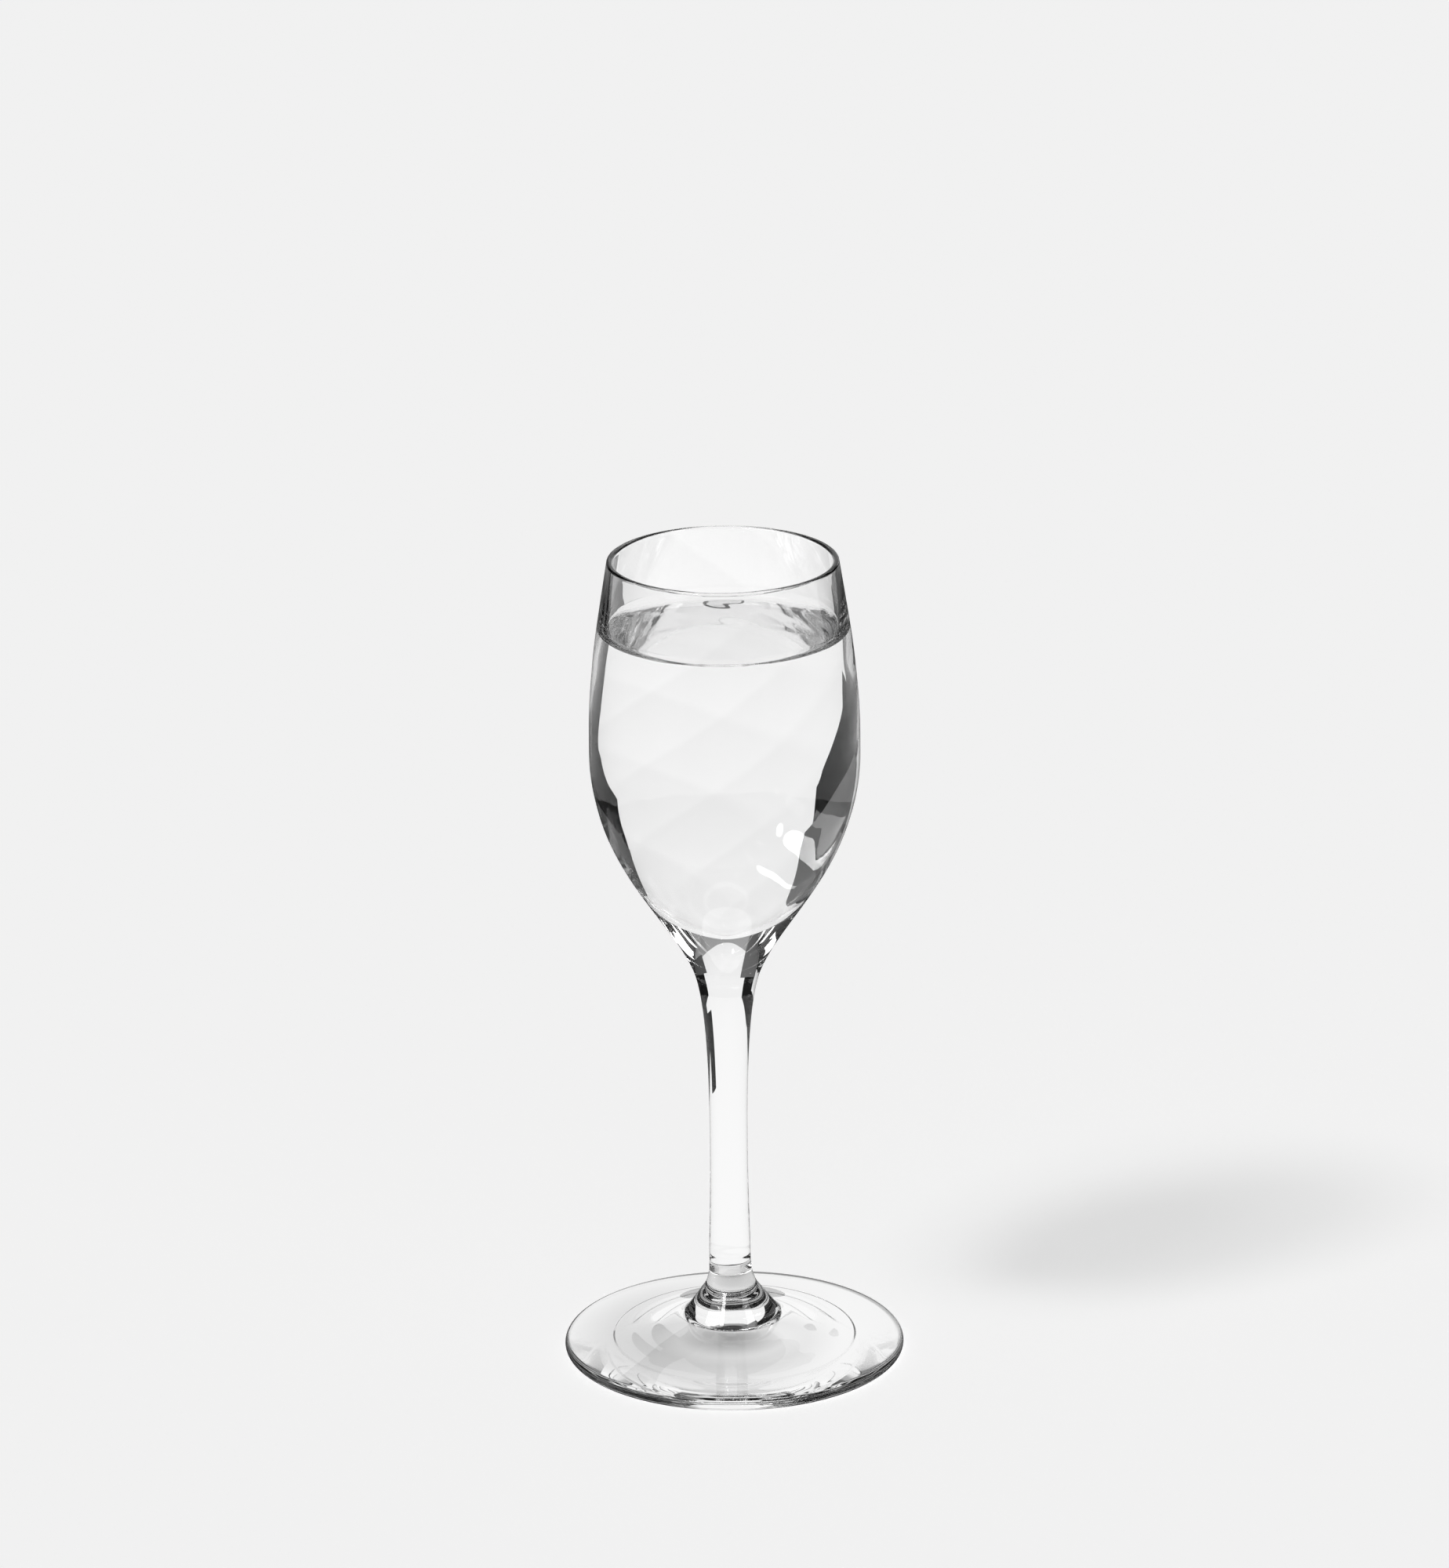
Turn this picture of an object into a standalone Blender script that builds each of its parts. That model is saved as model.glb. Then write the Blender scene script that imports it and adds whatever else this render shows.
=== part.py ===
"""Stemmed vodka glass: a blown bowl, a drawn stem, a foot with a collar, and the drink in the bowl.

The glass stands on Z = 0 with its axis on the Z axis. Sizes are in metres.
"""

import math

import bpy
from mathutils import Vector
from mathutils.geometry import interpolate_bezier

# Bowl
BOWL_HEIGHT = 0.0765        # from the joint with the stem up to the lip
RIM_RADIUS = 0.02055        # outside of the lip
BELLY_RADIUS = 0.0241       # outside, at the widest place
BELLY_DROP = 0.035          # from the lip down to the widest place
LIP_WALL = 0.0011
BELLY_WALL = 0.0025
BASE_SOLID = 0.0100         # solid glass between the joint and the floor of the cup
RIM_LEAN = 0.16             # how far the wall leans in at the lip, out per unit down

# Stem
STEM_LENGTH = 0.0557
STEM_TOP_RADIUS = 0.0062    # where it is fused to the bowl
STEM_WAIST_RADIUS = 0.0034
STEM_END_RADIUS = 0.00375   # where it is fused to the collar of the foot
WAIST_DROP = 0.034          # from the top of the stem down to its thinnest place
TOP_FLARE = 0.42            # how fast the stem widens at the bowl, out per unit up

# Foot
FOOT_RADIUS = 0.0308
FOOT_EDGE = 0.0022          # thickness of the rounded edge
FOOT_HEIGHT = 0.0172        # from the table up to the joint with the stem
NECK_RADIUS = 0.0051        # where the flare under the stem turns into the cone of the collar
NECK_HEIGHT = 0.0116
TOE_RADIUS = 0.0090         # where the cone of the collar meets the shallow disc
TOE_HEIGHT = 0.0066
SEAT_WIDTH = 0.0080         # flat ring that the glass stands on
KICK_UP = 0.0050            # hollow under the middle of the foot
FOOT_SLOPE = 0.15           # how fast the top of the foot rises from its edge

# Drink
FILL_DROP = 0.0134          # from the lip down to the level of the drink
MENISCUS_RISE = 0.0017
MENISCUS_REACH = 0.0032

# Clearance between pieces that are fused or that touch
CONTACT_GAP = 0.0003

# Handles of the curves, as shares of the stretch that each one shapes
RIM_PULL = 0.33             # down from the lip
BELLY_PULL = 0.40           # up from the widest place
TAPER_PULL = 0.50           # down from the widest place, outside
JOINT_PULL = 0.27           # up from the joint with the stem
CUP_PULL = 0.59             # down from the widest place, inside
FLOOR_PULL = 0.23           # out from the middle of the cup's floor
FLARE_PULL = 0.16           # down from the top of the stem
WAIST_PULL = 0.45           # up from the waist of the stem
ANKLE_PULL = 0.55           # down from the waist of the stem
STEM_END_PULL = 0.25        # up from the lower end of the stem
COLLAR_PULL = 0.28          # down from the top of the collar
NECK_PULL = 0.40            # up from the neck of the collar
DISC_PULL = 0.30            # out from the toe of the collar
SHOULDER_PULL = 0.58        # in from the edge, along the top of the foot
HOLLOW_PULL = 0.27          # in from the flat ring, under the foot
HOLLOW_RISE = 0.15          # up, at the end of that handle
CROWN_PULL = 0.36           # out from the middle of the hollow
MENISCUS_PULL = 0.60        # both handles of the meniscus

# Look of the materials
GLASS_IOR = 1.52
DRINK_IOR = 1.36
GLASS_TINT = (0.97, 0.975, 0.975)
DRINK_TINT = (0.985, 0.99, 0.995)
POLISH = 0.02
VIEWPORT_ALPHA = 0.35

# Facets around the axis, and points along one curve of a profile
TURN_STEPS = 48
STEM_STEPS = 32
CURVE_POINTS = 11
SHORT_CURVE_POINTS = 6
ARC_POINTS = 4
AXIS_MERGE = 0.00001

# Heights that follow from the sizes above
STEM_BOTTOM = FOOT_HEIGHT + CONTACT_GAP
BOWL_BOTTOM = STEM_BOTTOM + STEM_LENGTH + CONTACT_GAP
BELLY_HEIGHT = BOWL_HEIGHT - BELLY_DROP
LIP_ROUND = LIP_WALL / 2
EDGE_ROUND = FOOT_EDGE / 2


def remove_old_objects():
    for old in list(bpy.data.objects):
        bpy.data.objects.remove(old, do_unlink=True)


def curve(start, start_handle, end_handle, end, count=CURVE_POINTS):
    """Points of a Bezier curve in the half plane of radius and height."""
    knots = [Vector(point) for point in (start, start_handle, end_handle, end)]
    return interpolate_bezier(*knots, count)


def arc(centre, radius, from_angle, to_angle, count=ARC_POINTS):
    """Points of a circular arc, angles measured from the outward direction."""
    points = []
    for index in range(count):
        angle = from_angle + (to_angle - from_angle) * index / (count - 1)
        points.append(Vector((centre[0] + radius * math.cos(angle), centre[1] + radius * math.sin(angle))))
    return points


def chain(*stretches):
    """One outline from stretches that each start where the last one ended."""
    outline = []
    for stretch in stretches:
        for point in stretch:
            point = Vector(point)
            if not outline or (point - outline[-1]).length > AXIS_MERGE:
                outline.append(point)
    return outline


def inset(points, distance):
    """The same outline moved to its right-hand side, seen along its direction."""
    moved = []
    last = len(points) - 1
    for index, point in enumerate(points):
        along = points[min(index + 1, last)] - points[max(index - 1, 0)]
        across = Vector((along.y, -along.x)).normalized()
        moved.append(point + across * distance)
    return moved


def radius_at(points, height):
    """Radius of a descending outline at a height."""
    for upper, lower in zip(points, points[1:]):
        if lower.y <= height <= upper.y:
            share = (upper.y - height) / (upper.y - lower.y)
            return upper.x + (lower.x - upper.x) * share
    return points[-1].x


def bowl_inside():
    """Inner wall of the cup, from the lip down to the middle of its floor."""
    rim_radius = RIM_RADIUS - LIP_WALL
    rim_height = BOWL_HEIGHT - LIP_ROUND
    belly_radius = BELLY_RADIUS - BELLY_WALL
    upper_pull = RIM_PULL * BELLY_DROP
    belly_pull = BELLY_PULL * BELLY_DROP
    cup_depth = BELLY_HEIGHT - BASE_SOLID
    upper = curve(
        (rim_radius, rim_height),
        (rim_radius + RIM_LEAN * upper_pull, rim_height - upper_pull),
        (belly_radius, BELLY_HEIGHT + belly_pull),
        (belly_radius, BELLY_HEIGHT),
    )
    lower = curve(
        (belly_radius, BELLY_HEIGHT),
        (belly_radius, BELLY_HEIGHT - CUP_PULL * cup_depth),
        (FLOOR_PULL * belly_radius, BASE_SOLID),
        (0, BASE_SOLID),
    )
    return chain(upper, lower)


def bowl_outside():
    """Outer wall of the bowl, from the lip down to the joint with the stem."""
    rim_height = BOWL_HEIGHT - LIP_ROUND
    upper_pull = RIM_PULL * BELLY_DROP
    belly_pull = BELLY_PULL * BELLY_DROP
    joint_pull = JOINT_PULL * BELLY_HEIGHT
    upper = curve(
        (RIM_RADIUS, rim_height),
        (RIM_RADIUS + RIM_LEAN * upper_pull, rim_height - upper_pull),
        (BELLY_RADIUS, BELLY_HEIGHT + belly_pull),
        (BELLY_RADIUS, BELLY_HEIGHT),
    )
    lower = curve(
        (BELLY_RADIUS, BELLY_HEIGHT),
        (BELLY_RADIUS, BELLY_HEIGHT - TAPER_PULL * BELLY_HEIGHT),
        (STEM_TOP_RADIUS + TOP_FLARE * joint_pull, joint_pull),
        (STEM_TOP_RADIUS, 0),
    )
    return chain(upper, lower)


def bowl_outline():
    lip_centre = (RIM_RADIUS - LIP_ROUND, BOWL_HEIGHT - LIP_ROUND)
    inner_lip = arc(lip_centre, LIP_ROUND, math.pi, math.pi / 2)
    outer_lip = arc(lip_centre, LIP_ROUND, math.pi / 2, 0)
    return chain(reversed(bowl_inside()), inner_lip, outer_lip, bowl_outside(), [(0, 0)])


def stem_outline():
    waist = STEM_LENGTH - WAIST_DROP
    flare_pull = FLARE_PULL * WAIST_DROP
    upper = curve(
        (STEM_TOP_RADIUS, STEM_LENGTH),
        (STEM_TOP_RADIUS - TOP_FLARE * flare_pull, STEM_LENGTH - flare_pull),
        (STEM_WAIST_RADIUS, waist + WAIST_PULL * WAIST_DROP),
        (STEM_WAIST_RADIUS, waist),
    )
    lower = curve(
        (STEM_WAIST_RADIUS, waist),
        (STEM_WAIST_RADIUS, waist - ANKLE_PULL * waist),
        (STEM_END_RADIUS, STEM_END_PULL * waist),
        (STEM_END_RADIUS, 0),
        SHORT_CURVE_POINTS,
    )
    return chain([(0, STEM_LENGTH)], upper, lower, [(0, 0)])


def foot_outline():
    edge_centre = (FOOT_RADIUS - EDGE_ROUND, EDGE_ROUND)
    edge_angle = math.pi / 2 - math.atan(FOOT_SLOPE)
    upper_edge = arc(edge_centre, EDGE_ROUND, edge_angle, 0)
    lower_edge = arc(edge_centre, EDGE_ROUND, 0, -math.pi / 2)
    shoulder = upper_edge[0]
    seat_inner = edge_centre[0] - SEAT_WIDTH
    neck = Vector((NECK_RADIUS, NECK_HEIGHT))
    toe = Vector((TOE_RADIUS, TOE_HEIGHT))
    flare_drop = FOOT_HEIGHT - NECK_HEIGHT
    flare = curve(
        (STEM_END_RADIUS, FOOT_HEIGHT),
        (STEM_END_RADIUS, FOOT_HEIGHT - COLLAR_PULL * flare_drop),
        neck - NECK_PULL * flare_drop * (toe - neck).normalized(),
        neck,
        SHORT_CURVE_POINTS,
    )
    spread = shoulder.x - TOE_RADIUS
    slope_pull = SHOULDER_PULL * spread
    disc_handle = Vector((shoulder.x - slope_pull, shoulder.y + FOOT_SLOPE * slope_pull))
    disc = curve(
        toe,
        toe + DISC_PULL * spread * (disc_handle - toe).normalized(),
        disc_handle,
        shoulder,
        SHORT_CURVE_POINTS,
    )
    hollow = curve(
        (seat_inner, 0),
        (seat_inner - HOLLOW_PULL * seat_inner, HOLLOW_RISE * KICK_UP),
        (CROWN_PULL * seat_inner, KICK_UP),
        (0, KICK_UP),
    )
    return chain([(0, FOOT_HEIGHT)], flare, disc, upper_edge, lower_edge, hollow)


def drink_outline():
    level = BOWL_HEIGHT - FILL_DROP
    wall = inset(bowl_inside(), CONTACT_GAP)
    wall[-1].x = 0
    top = level + MENISCUS_RISE
    edge = Vector((radius_at(wall, top), top))
    surface = curve(
        (edge.x - MENISCUS_REACH, level),
        (edge.x - MENISCUS_REACH + MENISCUS_PULL * MENISCUS_REACH, level),
        (edge.x, edge.y - MENISCUS_PULL * MENISCUS_RISE),
        edge,
        SHORT_CURVE_POINTS,
    )
    wet_wall = [point for point in wall if point.y < top]
    return chain([(0, level)], surface, wet_wall)


def clear_material(name, ior, tint):
    """Clear colourless glass or liquid."""
    material = bpy.data.materials.new(name)
    material.use_nodes = True
    shader = material.node_tree.nodes["Principled BSDF"]
    shader.inputs["Base Color"].default_value = (*tint, 1)
    shader.inputs["Roughness"].default_value = POLISH
    shader.inputs["Metallic"].default_value = 0
    shader.inputs["IOR"].default_value = ior
    shader.inputs["Transmission Weight"].default_value = 1
    material.diffuse_color = (*tint, VIEWPORT_ALPHA)
    return material


def turned_piece(name, outline, steps, height, material, parent, collection):
    """An outline turned around the Z axis, standing at a height on its parent."""
    mesh = bpy.data.meshes.new(name)
    edges = [(index, index + 1) for index in range(len(outline) - 1)]
    mesh.from_pydata([(point.x, 0, point.y) for point in outline], edges, [])
    mesh.materials.append(material)
    piece = bpy.data.objects.new(name, mesh)
    collection.objects.link(piece)
    piece.parent = parent
    piece.location.z = height
    screw = piece.modifiers.new("turned", "SCREW")
    screw.axis = "Z"
    screw.angle = 2 * math.pi
    screw.steps = steps
    screw.render_steps = steps
    screw.use_merge_vertices = True
    screw.merge_threshold = AXIS_MERGE
    screw.use_smooth_shade = True
    return piece


def main():
    remove_old_objects()
    collection = bpy.data.collections.new("vodka_glass")
    bpy.context.scene.collection.children.link(collection)
    axis = bpy.data.objects.new("glass_axis", None)
    collection.objects.link(axis)

    glass = (GLASS_IOR, GLASS_TINT)
    liquid = (DRINK_IOR, DRINK_TINT)
    pieces = (
        ("foot", foot_outline(), TURN_STEPS, 0, "foot_glass", glass),
        ("stem", stem_outline(), STEM_STEPS, STEM_BOTTOM, "stem_glass", glass),
        ("bowl", bowl_outline(), TURN_STEPS, BOWL_BOTTOM, "bowl_glass", glass),
        ("drink", drink_outline(), TURN_STEPS, BOWL_BOTTOM, "clear_drink", liquid),
    )
    for name, outline, steps, height, finish, (ior, tint) in pieces:
        material = clear_material(finish, ior, tint)
        turned_piece(name, outline, steps, height, material, axis, collection)


main()
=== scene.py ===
"""Looks of a stemmed vodka glass: clear blown glass with a soft swirl optic, filled with a clear drink."""

import math

import bpy
import numpy as np
from mathutils import Euler, Matrix, Vector


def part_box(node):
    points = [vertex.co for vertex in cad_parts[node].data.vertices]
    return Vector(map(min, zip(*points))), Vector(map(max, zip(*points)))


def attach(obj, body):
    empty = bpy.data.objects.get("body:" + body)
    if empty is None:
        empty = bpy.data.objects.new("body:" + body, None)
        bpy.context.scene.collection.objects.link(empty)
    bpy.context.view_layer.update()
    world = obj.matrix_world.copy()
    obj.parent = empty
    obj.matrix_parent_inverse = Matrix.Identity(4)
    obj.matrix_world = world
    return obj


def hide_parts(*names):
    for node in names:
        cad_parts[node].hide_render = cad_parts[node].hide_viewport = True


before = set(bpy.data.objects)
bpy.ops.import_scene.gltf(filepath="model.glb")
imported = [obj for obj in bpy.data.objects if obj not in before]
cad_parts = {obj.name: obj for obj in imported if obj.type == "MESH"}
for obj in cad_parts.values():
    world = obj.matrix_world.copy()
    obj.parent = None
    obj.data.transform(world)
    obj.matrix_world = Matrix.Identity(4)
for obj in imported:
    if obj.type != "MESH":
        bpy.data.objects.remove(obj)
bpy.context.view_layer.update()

# Sizes and heights taken from the solids, in metres
bowl_low, bowl_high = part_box("bowl")
stem_low, stem_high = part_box("stem")
foot_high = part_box("foot")[1]
drink_low, drink_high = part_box("drink")
RIM_TOP = bowl_high.z
BELLY_RADIUS = bowl_high.x
STEM_TOP_RADIUS = stem_high.x
FOOT_RADIUS = foot_high.x
BOWL_JOINT = (bowl_low.z + stem_high.z) / 2
FOOT_JOINT = (stem_low.z + foot_high.z) / 2
CONTACT_HEIGHT = drink_high.z  # where the drink touches the wall
DRINK_CLEARANCE = 0.0003  # between the drink's solid and the floor of the cup
CUP_FLOOR = drink_low.z - DRINK_CLEARANCE

# Bowl
RIM_RADIUS = 0.02055
BELLY_DROP = 0.035
LIP_WALL = 0.0011
BELLY_WALL = 0.0025
BELLY_HEIGHT = RIM_TOP - BELLY_DROP
RIM_LEAN = 0.16
TOP_FLARE = 0.42

# Swirl optic in the walls of the bowl
OPTIC_RIBS = 8
OPTIC_DEPTH = 0.000483
OPTIC_TURN = 61.3  # radians along the axis per metre
OPTIC_SOFT = 0.585
OPTIC_PHASE = 0.635
OPTIC_MIDDLE = 0.7  # height of a flute, as a share of its depth, that lies on the plain wall
OPTIC_OUTSIDE = 0.176  # share of the optic that shows on the outer wall
OPTIC_FADE_RIM = 0.030
OPTIC_FADE_FLOOR = 0.0252

# Stem
STEM_WAIST_RADIUS = 0.0034
STEM_END_RADIUS = 0.00375
WAIST_DROP = 0.034

# Foot
FOOT_EDGE = 0.0022
SEAT_WIDTH = 0.00789
SEAT_STEP = 0.00022
SEAT_RUN = 0.000536
KICK_UP = 0.005
HOLLOW_EDGE_PULL = 0.739
HOLLOW_EDGE_RISE = 0.115
HOLLOW_TOP_PULL = 0.37
FOOT_SLOPE = 0.161
NECK_RADIUS = 0.0051
NECK_HEIGHT = 0.0118
NECK_RIPPLE = 0.000026
NECK_RIPPLE_LENGTH = 0.00261
BEAD_FADE = 0.2
TOE_RADIUS = 0.00889
TOE_HEIGHT = 0.0066
TOE_FILLET = 0.0014
FOOT_DRIFT = 0.0007  # the spun disc sits this far off the axis
HOLLOW_RIPPLE = 0.000033
HOLLOW_RIPPLE_LENGTH = 0.0053
RING_FADE = 0.25

# Drink
MENISCUS_RISE = 0.00199
MENISCUS_REACH = 0.00203
DRINK_INSET = 0.00015

# Handles of the curves, as shares of the stretch that each one shapes
RIM_PULL = 0.33
BELLY_PULL = 0.40
TAPER_PULL = 0.50
JOINT_PULL = 0.27
CUP_PULL = 0.59
FLOOR_PULL = 0.23
FLARE_PULL = 0.16
WAIST_PULL = 0.45
ANKLE_PULL = 0.55
STEM_END_PULL = 0.25
COLLAR_PULL = 0.263
NECK_PULL = 0.382
DISC_PULL = 0.384
SHOULDER_PULL = 0.549
SEAT_PULL = 0.30
MENISCUS_PULL = 0.685

# Fineness of the meshes
AROUND = 288
CURVE_POINTS = 70
SHORT_POINTS = 30
ARC_POINTS = 9
LIP_POINTS = 2 * ARC_POINTS
EDGE_POINTS = 3 * ARC_POINTS
SAME_POINT = 1e-7
SHARP_ANGLE = math.radians(35)

# Optics
GLASS_IOR = 1.52
DRINK_IOR = 1.36

# Fine detail of the glass: veins from the hot working, and the tone of the flutes
BLOWN_GRAIN = (0.004, 0.004, 0.030)
DRAWN_GRAIN = (0.002, 0.002, 0.040)
SPUN_GRAIN = (0.012, 0.012, 0.012)
STILL_GRAIN = (0.015, 0.015, 0.015)
VEIN_DETAIL = 2
VEIN_TONE = 0.02
VEIN_ROUGHNESS = 0.004
VEIN_HEIGHT = 0.00001
FLUTE_TONE = 0.035
FLUTE_STEP = 0.10
FLUTE_SOFT = 0.4

# Floor and sky, each as the camera, the rays through glass and the reflections see it
BACKGROUND = 0.879
FLOOR_HALF = 3.0
FLOOR_DROP = 0.0002
FLOOR_ALBEDO = 0.5
FLOOR_GLOW = 0.687
FLOOR_IN_GLOSS = 0.02
SKY_THROUGH_GLASS = 0.012
SKY_IN_GLOSS = 0.05

# Floor seen through the glass: distance from the axis in metres and brightness there.
# The dips are painted shade: darker under the collar and the foot, and a painted contact shadow in the ring
# at the rim.
PAINTED_FOOT_SHADE = (
    (0.0, 0.34),
    (0.01, 0.75),
    (0.014, 0.69),
    (0.019, 0.75),
    (0.03, 0.88),
    (0.0306, 0.41),
    (0.0335, 0.0),
    (0.0345, 1.0),
    (0.5, 0.96),
    (2.0, 1.0),
)

# Painted light and shade under the foot: the floor is brighter by this share on the right than in the
# middle, and darker on the left
PAINTED_LIGHT_AND_SHADE_LEAN = 0.2
LEAN_REACH = 0.02

# Lamps that throw the soft shadow: reach of the shadow to the right and back per unit of height,
# brightness on the floor, and width in degrees
LAMPS = (
    ("key_wide", 0.73, 0.46, 0.45, 8),
    ("key_core", 0.62, 0.45, 0.60, 14),
)

# Studio panels: two floor points (x, y), foot and top in metres, brightness
PANELS = (
    ("flag_right", (0.286, 0.0709), (0.324, 0.528), 0.0, 0.275, 0.007),
    ("flag_left", (-0.185, 0.184), (-0.19, 0.456), 0.0, 0.423, 0.0117),
    ("low_flag_right", (0.12, -0.0239), (0.152, 0.162), 0.0, 0.07, 0.00387),
    ("low_flag_left", (-0.157, -0.0389), (-0.199, 0.2), 0.0, 0.0547, 0.00675),
    ("near_flag_left", (-0.0613, 0.0687), (-0.0301, 0.111), 0.0862, 0.176, 0.154),
    ("near_flag_right", (0.0393, 0.0914), (0.0859, 0.0451), 0.0963, 0.133, 0.0938),
    ("liquid_flag", (-0.0838, 0.15), (0.123, 0.15), 0.163, 0.237, 0.359),
    ("backdrop", (-1.28, 1.6), (1.44, 1.6), 0.0, 1.8, 0.97),
    ("softbox_left", (-1.1, -0.2), (-0.85, -1.0), 0.756, 1.58, 2.53),
    ("softbox_right", (1.1, -0.45), (0.85, -0.85), 0.866, 1.75, 2.19),
    ("base_flag_right", (0.0761, 0.0723), (0.053, 0.0963), 0.0126, 0.045, 0.004),
    ("high_flag_right", (0.393, 0.259), (0.167, 0.217), 0.285, 0.779, 0.0205),
)

# Round lamps that make the highlights: middle (x, y, z), half width and half height in metres, brightness
KEY_DISCS = (
    ("key_main", (-0.66, -0.99, 1.26), 0.13, 0.25, 14.0),
    ("key_upper", (-0.50, -1.07, 1.06), 0.035, 0.13, 14.0),
    ("key_lower", (-0.31, -1.17, 2.40), 0.06, 0.22, 14.0),
)
DISC_SIDES = 48

# Cards that stand all round the glass: radius and height in metres, brightness, seen in reflections
RING_CARDS = (
    # The first ring is a dark band hugging the foot's rim, seen through the glass and in reflections:
    # painted contact shade.
    ("painted_rim_shade_card", 0.0315, 0.0026, 0.005, True),
    ("surround", 2.8, 1.2, 0.9, False),
)
RING_SIDES = 96

# Camera, as read from the photograph
IMAGE_LONG_SIDE = 2000
SENSOR = 36.0
FOCAL_PIXELS = 10000
CAMERA_PITCH = math.radians(18.87)
CAMERA_ROLL = math.radians(0.6)
CAMERA_DISTANCE = 1.3192
CAMERA_SIDE = 0.0001
CAMERA_REACH = 100
AIM_HEIGHT = 0.1081

# Bounces of light that the nested glass and drink need
GLASS_BOUNCES = 40
GLOSS_BOUNCES = 20


def bezier(start, start_handle, end_handle, end, count=CURVE_POINTS):
    """Points of a Bezier curve in the half plane of radius and height."""
    t = np.linspace(0, 1, count)[:, None]
    weights = ((1 - t) ** 3, 3 * (1 - t) ** 2 * t, 3 * (1 - t) * t ** 2, t ** 3)
    return sum(w * np.array(p) for w, p in zip(weights, (start, start_handle, end_handle, end)))


def arc(centre, radius, from_angle, to_angle, count):
    angles = np.linspace(from_angle, to_angle, count)
    return np.array(centre) + radius * np.stack([np.cos(angles), np.sin(angles)], -1)


def cap(radius, height):
    """A straight run from a corner in to the axis."""
    return np.array([(radius, height), (0, height)])


def bowl_inside():
    """Inner wall, from the lip down to the middle of the cup's floor."""
    rim = (RIM_RADIUS - LIP_WALL, RIM_TOP - LIP_WALL / 2)
    belly = (BELLY_RADIUS - BELLY_WALL, BELLY_HEIGHT)
    drop = RIM_TOP - BELLY_HEIGHT
    depth = BELLY_HEIGHT - CUP_FLOOR
    upper = bezier(
        rim,
        (rim[0] + RIM_LEAN * RIM_PULL * drop, rim[1] - RIM_PULL * drop),
        (belly[0], belly[1] + BELLY_PULL * drop),
        belly,
    )
    lower = bezier(
        belly,
        (belly[0], belly[1] - CUP_PULL * depth),
        (FLOOR_PULL * belly[0], CUP_FLOOR),
        (0, CUP_FLOOR),
    )
    return np.concatenate([upper[:-1], lower])


def bowl_outside():
    rim = (RIM_RADIUS, RIM_TOP - LIP_WALL / 2)
    belly = (BELLY_RADIUS, BELLY_HEIGHT)
    drop = RIM_TOP - BELLY_HEIGHT
    taper = BELLY_HEIGHT - BOWL_JOINT
    upper = bezier(
        rim,
        (rim[0] + RIM_LEAN * RIM_PULL * drop, rim[1] - RIM_PULL * drop),
        (belly[0], belly[1] + BELLY_PULL * drop),
        belly,
    )
    lower = bezier(
        belly,
        (belly[0], belly[1] - TAPER_PULL * taper),
        (STEM_TOP_RADIUS + TOP_FLARE * JOINT_PULL * taper, BOWL_JOINT + JOINT_PULL * taper),
        (STEM_TOP_RADIUS, BOWL_JOINT),
    )
    return np.concatenate([upper[:-1], lower])


def split_at(points, height):
    """A descending outline in two, with a point of both at the height."""
    index = int(np.argmax(points[:, 1] < height))
    upper, lower = points[index - 1], points[index]
    share = (upper[1] - height) / (upper[1] - lower[1])
    middle = upper + (lower - upper) * share
    return np.concatenate([points[:index], [middle]]), np.concatenate([[middle], points[index:]])


def inset(points, distance):
    """An outline moved sideways, towards the axis for a wall that runs down."""
    along = np.gradient(points, axis=0)
    across = np.stack([along[:, 1], -along[:, 0]], -1)
    return points + distance * across / np.linalg.norm(across, axis=1, keepdims=True)


def ease(share):
    """A soft step from 0 to 1."""
    share = np.clip(share, 0, 1)
    return share ** 2 * (3 - 2 * share)


def optic(angle, height):
    """Depth of the swirl optic: soft flutes that meet in ridges."""
    turn = OPTIC_RIBS * (angle - OPTIC_TURN * (height - BELLY_HEIGHT)) + OPTIC_PHASE
    flute = np.sqrt(np.sin(turn / 2) ** 2 + OPTIC_SOFT ** 2)
    fade = ease((RIM_TOP - height) / OPTIC_FADE_RIM) * ease((height - CUP_FLOOR) / OPTIC_FADE_FLOOR)
    return OPTIC_DEPTH * fade * (flute - OPTIC_MIDDLE)


def add_object(name, data):
    thing = bpy.data.objects.new(name, data)
    bpy.context.scene.collection.objects.link(thing)
    return thing


def turned_rings(stretches):
    """Rings of a turned mesh: radius, height, optic share and the material of the faces before the ring."""
    rings = []
    for points, material, share in stretches:
        for radius, height in points:
            if rings and np.allclose(rings[-1][:2], (radius, height), atol=SAME_POINT):
                continue
            rings.append((radius, height, share, material))
    return rings


def turned_points(rings, drift):
    """Points of all rings, and the number of each ring's first point. A ring on the axis has one point."""
    angles = np.linspace(0, 2 * math.pi, AROUND, endpoint=False)
    points = []
    starts = []
    for radius, height, share, _ in rings:
        starts.append(len(points))
        shift = drift * (1 - height / FOOT_JOINT)
        if radius < SAME_POINT:
            points.append((shift, 0, height))
            continue
        reach = radius + share * optic(angles, height)
        points.extend(zip(reach * np.cos(angles) + shift, reach * np.sin(angles), np.full(AROUND, height)))
    return [tuple(map(float, point)) for point in points], starts


def turned_faces(rings, starts):
    """Faces between each ring and the next, and the material number of each face."""
    faces = []
    numbers = []
    for index in range(len(rings) - 1):
        here, after = starts[index], starts[index + 1]
        for step in range(AROUND):
            turn = (step + 1) % AROUND
            if rings[index][0] < SAME_POINT:
                face = (here, after + step, after + turn)
            elif rings[index + 1][0] < SAME_POINT:
                face = (here + step, after, here + turn)
            else:
                face = (here + step, after + step, after + turn, here + turn)
            faces.append(face)
            numbers.append(rings[index + 1][3])
    return faces, numbers


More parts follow.
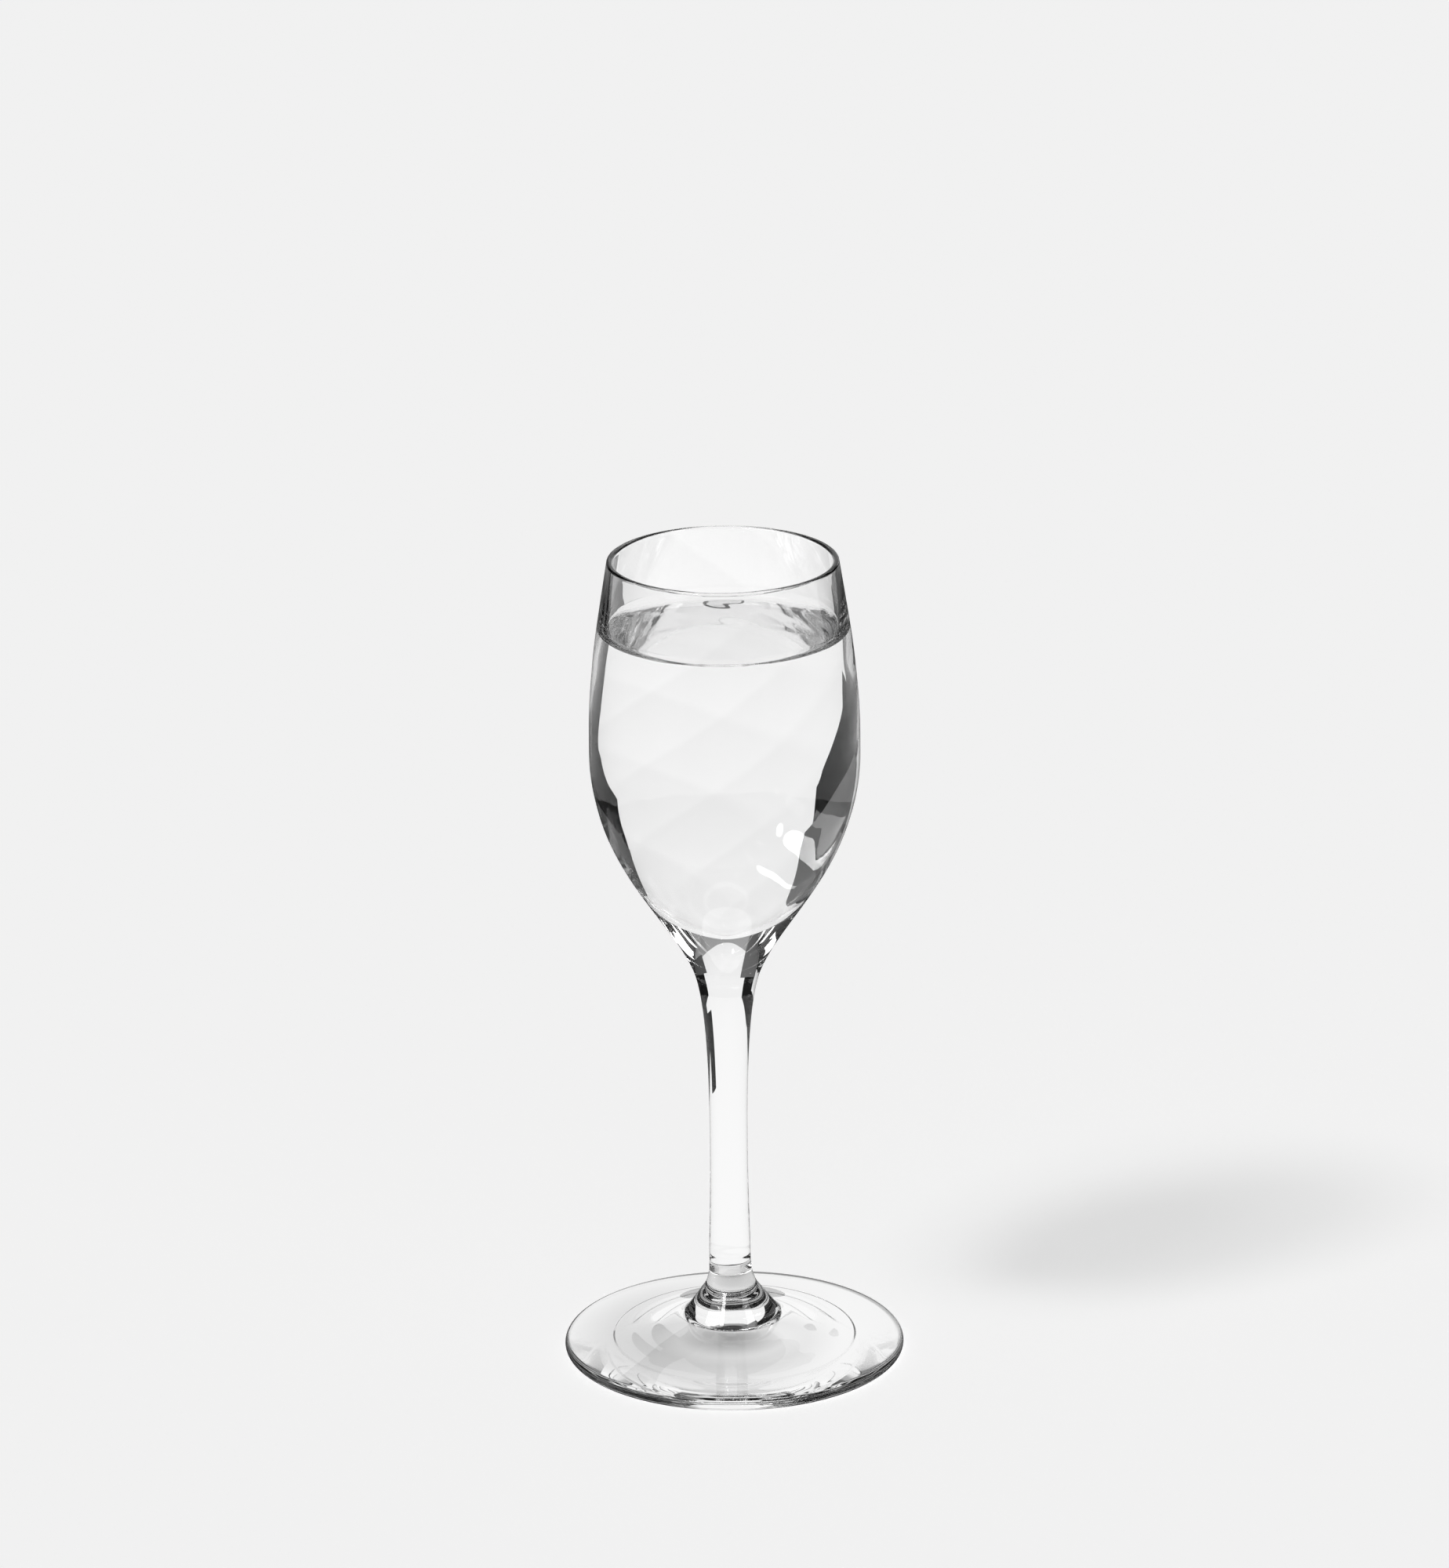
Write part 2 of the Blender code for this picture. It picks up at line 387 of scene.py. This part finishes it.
def turned_piece(name, stretches, materials, drift=0):
    """A mesh turned around the axis from stretches of outline: points, material number, optic share."""
    rings = turned_rings(stretches)
    points, starts = turned_points(rings, drift)
    faces, numbers = turned_faces(rings, starts)
    mesh = bpy.data.meshes.new(name)
    mesh.from_pydata(points, [], faces)
    for material in materials:
        mesh.materials.append(material)
    mesh.polygons.foreach_set("material_index", numbers)
    mesh.shade_smooth()
    mesh.set_sharp_from_angle(angle=SHARP_ANGLE)
    return add_object(name, mesh)


def math_node(tree, operation, *values):
    """A maths node whose inputs are sockets or plain numbers."""
    node = tree.nodes.new("ShaderNodeMath")
    node.operation = operation
    for socket, value in zip(node.inputs, values):
        if isinstance(value, bpy.types.NodeSocket):
            tree.links.new(value, socket)
        else:
            socket.default_value = value
    return node.outputs[0]


def ramp(tree, value, start, end, low, high):
    """A straight ramp from low at the start to high at the end, and level beyond them."""
    node = tree.nodes.new("ShaderNodeMapRange")
    for socket, number in zip(("From Min", "From Max", "To Min", "To Max"), (start, end, low, high)):
        node.inputs[socket].default_value = number
    tree.links.new(value, node.inputs["Value"])
    return node.outputs["Result"]


def veins(tree, grain):
    """Faint streaks left by the working of the hot glass, with a size in metres along each axis."""
    coords = tree.nodes.new("ShaderNodeTexCoord")
    stretch = tree.nodes.new("ShaderNodeMapping")
    stretch.inputs["Scale"].default_value = [1 / size for size in grain]
    tree.links.new(coords.outputs["Object"], stretch.inputs["Vector"])
    noise = tree.nodes.new("ShaderNodeTexNoise")
    noise.inputs["Scale"].default_value = 1
    noise.inputs["Detail"].default_value = VEIN_DETAIL
    tree.links.new(stretch.outputs["Vector"], noise.inputs["Vector"])
    return noise.outputs["Fac"]


def swirl_shade(tree):
    """Tone of the flutes: each runs from clear to a little darker around the bowl, then steps back."""
    coords = tree.nodes.new("ShaderNodeTexCoord")
    split = tree.nodes.new("ShaderNodeSeparateXYZ")
    tree.links.new(coords.outputs["Object"], split.inputs[0])
    angle = math_node(tree, "ARCTAN2", split.outputs["Y"], split.outputs["X"])
    climb = math_node(tree, "SUBTRACT", split.outputs["Z"], BELLY_HEIGHT)
    lean = math_node(tree, "MULTIPLY", climb, OPTIC_TURN)
    turn = math_node(tree, "MULTIPLY", math_node(tree, "SUBTRACT", angle, lean), OPTIC_RIBS)
    flute = math_node(tree, "DIVIDE", math_node(tree, "ADD", turn, OPTIC_PHASE), 2 * math.pi)
    share = math_node(tree, "FRACT", flute)
    rise = math_node(tree, "SMOOTH_MIN", math_node(tree, "DIVIDE", share, FLUTE_STEP), 1.0, FLUTE_SOFT)
    fall = math_node(tree, "SUBTRACT", 1.0, share)
    return math_node(tree, "MULTIPLY", rise, fall)


def clear_material(name, ior, grain, swirl=False):
    """Clear glass or drink, with faint veins in its tone, its polish and its surface."""
    material = bpy.data.materials.new(name)
    material.use_nodes = True
    tree = material.node_tree
    shader = tree.nodes["Principled BSDF"]
    shader.inputs["IOR"].default_value = ior
    shader.inputs["Transmission Weight"].default_value = 1
    streaks = veins(tree, grain)
    tone = ramp(tree, streaks, 0, 1, 1 - VEIN_TONE, 1)
    if swirl:
        flutes = ramp(tree, swirl_shade(tree), 0, 1, 1, 1 - FLUTE_TONE)
        tone = math_node(tree, "MULTIPLY", tone, flutes)
    tint = tree.nodes.new("ShaderNodeCombineColor")
    for channel in ("Red", "Green", "Blue"):
        tree.links.new(tone, tint.inputs[channel])
    tree.links.new(tint.outputs["Color"], shader.inputs["Base Color"])
    tree.links.new(ramp(tree, streaks, 0, 1, 0, VEIN_ROUGHNESS), shader.inputs["Roughness"])
    bump = tree.nodes.new("ShaderNodeBump")
    bump.inputs["Distance"].default_value = VEIN_HEIGHT
    tree.links.new(streaks, bump.inputs["Height"])
    tree.links.new(bump.outputs["Normal"], shader.inputs["Normal"])
    return material


def unseen_material(name):
    """Faces inside fused glass or inside the liquid, where nothing is seen."""
    material = bpy.data.materials.new(name)
    material.use_nodes = True
    shader = material.node_tree.nodes["Principled BSDF"]
    shader.inputs["Alpha"].default_value = 0
    return material


def add_bowl(joint):
    dry, wet = split_at(bowl_inside(), CONTACT_HEIGHT)
    lip_centre = (RIM_RADIUS - LIP_WALL / 2, RIM_TOP - LIP_WALL / 2)
    lip = arc(lip_centre, LIP_WALL / 2, math.pi, 0, LIP_POINTS)
    glass = clear_material("bowl_glass", GLASS_IOR, BLOWN_GRAIN, swirl=True)
    wet_glass = clear_material("wet_bowl_glass", GLASS_IOR / DRINK_IOR, BLOWN_GRAIN, swirl=True)
    stretches = (
        (wet[::-1], 1, 1),
        (dry[::-1], 0, 1),
        (lip, 0, 0),
        (bowl_outside(), 0, OPTIC_OUTSIDE),
        (cap(STEM_TOP_RADIUS, BOWL_JOINT), 2, 0),
    )
    return turned_piece("blown_bowl", stretches, (glass, wet_glass, joint))


def stem_profile():
    length = BOWL_JOINT - FOOT_JOINT
    waist = BOWL_JOINT - WAIST_DROP
    flare = FLARE_PULL * WAIST_DROP
    upper = bezier(
        (STEM_TOP_RADIUS, BOWL_JOINT),
        (STEM_TOP_RADIUS - TOP_FLARE * flare, BOWL_JOINT - flare),
        (STEM_WAIST_RADIUS, waist + WAIST_PULL * WAIST_DROP),
        (STEM_WAIST_RADIUS, waist),
    )
    lower_length = length - WAIST_DROP
    lower = bezier(
        (STEM_WAIST_RADIUS, waist),
        (STEM_WAIST_RADIUS, waist - ANKLE_PULL * lower_length),
        (STEM_END_RADIUS, FOOT_JOINT + STEM_END_PULL * lower_length),
        (STEM_END_RADIUS, FOOT_JOINT),
        SHORT_POINTS,
    )
    return np.concatenate([upper[:-1], lower])


def add_stem(joint):
    glass = clear_material("stem_glass", GLASS_IOR, DRAWN_GRAIN)
    stretches = (
        (cap(STEM_TOP_RADIUS, BOWL_JOINT)[::-1], 1, 0),
        (stem_profile(), 0, 0),
        (cap(STEM_END_RADIUS, FOOT_JOINT), 1, 0),
    )
    return turned_piece("drawn_stem", stretches, (glass, joint))


def foot_top(shoulder):
    """Upper side of the foot: a flare under the stem, the cone of the collar, and the shallow disc."""
    neck = np.array((NECK_RADIUS, NECK_HEIGHT))
    toe = np.array((TOE_RADIUS, TOE_HEIGHT))
    down_cone = (toe - neck) / np.linalg.norm(toe - neck)
    spread = shoulder[0] - toe[0]
    pull = SHOULDER_PULL * spread
    disc_handle = np.array((shoulder[0] - pull, shoulder[1] + FOOT_SLOPE * pull))
    down_disc = (disc_handle - toe) / np.linalg.norm(disc_handle - toe)
    cone_end = toe - TOE_FILLET * down_cone
    disc_start = toe + TOE_FILLET * down_disc
    drop = FOOT_JOINT - NECK_HEIGHT
    flare = bezier(
        (STEM_END_RADIUS, FOOT_JOINT),
        (STEM_END_RADIUS, FOOT_JOINT - COLLAR_PULL * drop),
        neck - NECK_PULL * drop * down_cone,
        neck,
        SHORT_POINTS,
    )
    share = (FOOT_JOINT - flare[:, 1]) / drop
    window = ease(share / BEAD_FADE) * ease((1 - share) / BEAD_FADE)
    flare[:, 0] += NECK_RIPPLE * window * np.sin(2 * math.pi * flare[:, 1] / NECK_RIPPLE_LENGTH)
    cone = np.linspace(neck, cone_end, SHORT_POINTS)
    fillet = bezier(cone_end, toe, toe, disc_start, ARC_POINTS)
    disc = bezier(disc_start, disc_start + DISC_PULL * spread * down_disc, disc_handle, shoulder)
    return np.concatenate([flare, cone[1:], fillet[1:], disc[1:]])


def foot_hollow(seat_inner):
    """Underside, from the inner edge of the resting ring to the middle, with faint spun rings."""
    step = np.array((seat_inner - SEAT_RUN, SEAT_STEP))
    rise = bezier(
        (seat_inner, 0),
        (seat_inner - SEAT_PULL * SEAT_RUN, 0),
        (step[0] + SEAT_PULL * SEAT_RUN, SEAT_STEP),
        step,
        ARC_POINTS,
    )
    dome = bezier(
        step,
        (HOLLOW_EDGE_PULL * step[0], SEAT_STEP + HOLLOW_EDGE_RISE * KICK_UP),
        (HOLLOW_TOP_PULL * step[0], KICK_UP),
        (0, KICK_UP),
    )
    share = dome[:, 0] / step[0]
    window = ease(share / RING_FADE) * ease((1 - share) / RING_FADE)
    dome[:, 1] += HOLLOW_RIPPLE * window * np.sin(2 * math.pi * dome[:, 0] / HOLLOW_RIPPLE_LENGTH)
    return np.concatenate([rise, dome[1:]])


def add_foot(joint):
    half = FOOT_EDGE / 2
    centre = (FOOT_RADIUS - half, half)
    shoulder_angle = math.pi / 2 - math.atan(FOOT_SLOPE)
    edge = arc(centre, half, shoulder_angle, -math.pi / 2, EDGE_POINTS)
    glass = clear_material("foot_glass", GLASS_IOR, SPUN_GRAIN)
    stretches = (
        (cap(STEM_END_RADIUS, FOOT_JOINT)[::-1], 1, 0),
        (foot_top(edge[0]), 0, 0),
        (edge, 0, 0),
        (foot_hollow(centre[0] - SEAT_WIDTH), 0, 0),
    )
    return turned_piece("spun_foot", stretches, (glass, joint), FOOT_DRIFT)


def add_drink(unseen):
    level = CONTACT_HEIGHT - MENISCUS_RISE
    wet = split_at(bowl_inside(), CONTACT_HEIGHT)[1]
    edge = wet[0]
    surface = bezier(
        (edge[0] - MENISCUS_REACH, level),
        (edge[0] - (1 - MENISCUS_PULL) * MENISCUS_REACH, level),
        (edge[0], level + (1 - MENISCUS_PULL) * MENISCUS_RISE),
        edge,
        SHORT_POINTS,
    )
    flat = np.linspace((0, level), surface[0], SHORT_POINTS)
    sides = inset(wet, DRINK_INSET)
    sides[-1, 0] = 0
    liquid = clear_material("clear_drink", DRINK_IOR, STILL_GRAIN)
    stretches = (
        (flat, 0, 0),
        (surface, 0, 0),
        ([edge], 0, 1),
        (sides[1:], 1, 1),
    )
    return turned_piece("clear_drink", stretches, (liquid, unseen))


def add_glass():
    joint = unseen_material("fused_joint")
    unseen = unseen_material("wetted_face")
    rows = (
        (add_bowl(joint), "bowl", "bowl_glass", True),
        (add_stem(joint), "stem", "stem_glass", False),
        (add_foot(joint), "foot", "foot_glass", False),
        (add_drink(unseen), "drink", "clear_drink", True),
    )
    for piece, node, slot, shadow in rows:
        piece.visible_shadow = shadow
        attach(piece, "root")
        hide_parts(node)


def stage_material(name):
    """A material with an empty node tree, and the tree."""
    material = bpy.data.materials.new(name)
    material.use_nodes = True
    material.node_tree.nodes.clear()
    return material, material.node_tree


def light_path_switch(tree, shader_for_camera, shader_for_glass, shader_for_gloss):
    """The camera, rays that come out of the glass and reflected rays each get their own shader."""
    path = tree.nodes.new("ShaderNodeLightPath")
    unseen = tree.nodes.new("ShaderNodeMixShader")
    tree.links.new(path.outputs["Is Transmission Ray"], unseen.inputs["Fac"])
    tree.links.new(shader_for_gloss.outputs[0], unseen.inputs[1])
    tree.links.new(shader_for_glass.outputs[0], unseen.inputs[2])
    seen = tree.nodes.new("ShaderNodeMixShader")
    tree.links.new(path.outputs["Is Camera Ray"], seen.inputs["Fac"])
    tree.links.new(unseen.outputs[0], seen.inputs[1])
    tree.links.new(shader_for_camera.outputs[0], seen.inputs[2])
    return seen


def glow(tree, level, kind="ShaderNodeEmission"):
    shader = tree.nodes.new(kind)
    shader.inputs["Color"].default_value = (level, level, level, 1)
    return shader


def painted_floor_light_and_shade(tree):
    """The floor as it shows through the glass, with painted shade: darkest in the ring where the foot's rim
    meets it, as a painted contact shadow, and with painted light on the right under the foot and painted
    shade on the left.
    """
    place = tree.nodes.new("ShaderNodeNewGeometry")
    reach = tree.nodes.new("ShaderNodeVectorMath")
    reach.operation = "LENGTH"
    tree.links.new(place.outputs["Position"], reach.inputs[0])
    level = PAINTED_FOOT_SHADE[0][1]
    for (start, low), (end, high) in zip(PAINTED_FOOT_SHADE, PAINTED_FOOT_SHADE[1:]):
        step = ramp(tree, reach.outputs["Value"], start, end, 0, high - low)
        level = math_node(tree, "ADD", level, step)
    split = tree.nodes.new("ShaderNodeSeparateXYZ")
    tree.links.new(place.outputs["Position"], split.inputs[0])
    side = ramp(tree, split.outputs["X"], -LEAN_REACH, LEAN_REACH, -1, 1)
    share = ramp(tree, reach.outputs["Value"], LEAN_REACH, FOOT_RADIUS, PAINTED_LIGHT_AND_SHADE_LEAN, 0)
    lean = math_node(tree, "MULTIPLY_ADD", side, share, 1.0)
    shader = tree.nodes.new("ShaderNodeEmission")
    tree.links.new(math_node(tree, "MULTIPLY", level, lean), shader.inputs["Strength"])
    return shader


def floor_material():
    """Pale floor: lit and glowing for the camera, shaded through the glass, dark in reflections."""
    material, tree = stage_material("pale_floor")
    lit = tree.nodes.new("ShaderNodeBsdfDiffuse")
    lit.inputs["Color"].default_value = (FLOOR_ALBEDO, FLOOR_ALBEDO, FLOOR_ALBEDO, 1)
    ground = tree.nodes.new("ShaderNodeAddShader")
    tree.links.new(lit.outputs[0], ground.inputs[0])
    tree.links.new(glow(tree, FLOOR_GLOW).outputs[0], ground.inputs[1])
    switch = light_path_switch(tree, ground, painted_floor_light_and_shade(tree), glow(tree, FLOOR_IN_GLOSS))
    output = tree.nodes.new("ShaderNodeOutputMaterial")
    tree.links.new(switch.outputs[0], output.inputs["Surface"])
    return material


def add_floor():
    half = FLOOR_HALF
    corners = [(-half, -half, 0), (half, -half, 0), (half, half, 0), (-half, half, 0)]
    mesh = bpy.data.meshes.new("floor")
    mesh.from_pydata(corners, [], [(0, 1, 2, 3)])
    mesh.materials.append(floor_material())
    floor = add_object("floor", mesh)
    floor.location.z = -FLOOR_DROP


def add_card(name, corners, faces, level, in_gloss=True):
    """A glowing or dark studio card that only the glass sees, not the camera and not the floor."""
    material, tree = stage_material(name)
    shader = glow(tree, 1)
    shader.inputs["Strength"].default_value = level
    output = tree.nodes.new("ShaderNodeOutputMaterial")
    tree.links.new(shader.outputs[0], output.inputs["Surface"])
    mesh = bpy.data.meshes.new(name)
    mesh.from_pydata(corners, [], faces)
    mesh.materials.append(material)
    card = add_object(name, mesh)
    card.visible_camera = False
    card.visible_diffuse = False
    card.visible_shadow = False
    card.visible_glossy = in_gloss


def add_panel(name, start, end, low, high, level):
    corners = [(*start, low), (*end, low), (*end, high), (*start, high)]
    add_card(name, corners, [(0, 1, 2, 3)], level)


def add_disc(name, middle, half_width, half_height, level):
    """A round card that faces the axis of the glass."""
    across = Vector((-middle[1], middle[0], 0)).normalized()
    corners = []
    for index in range(DISC_SIDES):
        angle = 2 * math.pi * index / DISC_SIDES
        climb = Vector((0, 0, half_height * math.sin(angle)))
        corners.append(Vector(middle) + across * (half_width * math.cos(angle)) + climb)
    add_card(name, corners, [range(DISC_SIDES)], level)


def add_ring_card(name, radius, height, level, in_gloss):
    circle = arc((0, 0), radius, 0, 2 * math.pi, RING_SIDES + 1)[:-1]
    corners = [(x, y, z) for z in (0, height) for x, y in circle]
    faces = []
    for index in range(RING_SIDES):
        after = (index + 1) % RING_SIDES
        faces.append((index, after, RING_SIDES + after, RING_SIDES + index))
    add_card(name, corners, faces, level, in_gloss)


def add_world():
    world = bpy.data.worlds.new("studio")
    bpy.context.scene.world = world
    world.use_nodes = True
    tree = world.node_tree
    tree.nodes.clear()
    kind = "ShaderNodeBackground"
    seen = glow(tree, BACKGROUND, kind)
    through_glass = glow(tree, SKY_THROUGH_GLASS, kind)
    switch = light_path_switch(tree, seen, through_glass, glow(tree, SKY_IN_GLOSS, kind))
    output = tree.nodes.new("ShaderNodeOutputWorld")
    tree.links.new(switch.outputs[0], output.inputs["Surface"])


def add_lamp(name, right, back, brightness, width):
    direction = Vector((right, back, -1))
    lamp = bpy.data.lights.new(name, "SUN")
    lamp.energy = brightness * direction.length
    lamp.angle = math.radians(width)
    key = add_object(name, lamp)
    key.rotation_euler = direction.to_track_quat("-Z", "Y").to_euler()
    key.visible_glossy = False
    key.visible_transmission = False


def add_camera():
    camera = bpy.data.cameras.new("camera")
    camera.sensor_width = SENSOR
    camera.lens = FOCAL_PIXELS / IMAGE_LONG_SIDE * SENSOR
    camera.clip_end = CAMERA_REACH
    view = add_object("camera", camera)
    height = AIM_HEIGHT + CAMERA_DISTANCE * math.tan(CAMERA_PITCH)
    place = Matrix.Translation((-CAMERA_SIDE, -CAMERA_DISTANCE, height))
    pitch = Euler((math.pi / 2 - CAMERA_PITCH, 0, 0)).to_matrix().to_4x4()
    view.matrix_world = place @ pitch @ Matrix.Rotation(-CAMERA_ROLL, 4, "Z")
    bpy.context.scene.camera = view


def set_render():
    scene = bpy.context.scene
    scene.view_settings.view_transform = "Standard"
    scene.cycles.max_bounces = GLASS_BOUNCES
    scene.cycles.transmission_bounces = GLASS_BOUNCES
    scene.cycles.glossy_bounces = GLOSS_BOUNCES
    scene.cycles.transparent_max_bounces = GLASS_BOUNCES


add_glass()
add_floor()
for panel_row in PANELS:
    add_panel(*panel_row)
for disc_row in KEY_DISCS:
    add_disc(*disc_row)
for ring_row in RING_CARDS:
    add_ring_card(*ring_row)
add_world()
for lamp_row in LAMPS:
    add_lamp(*lamp_row)
add_camera()
set_render()
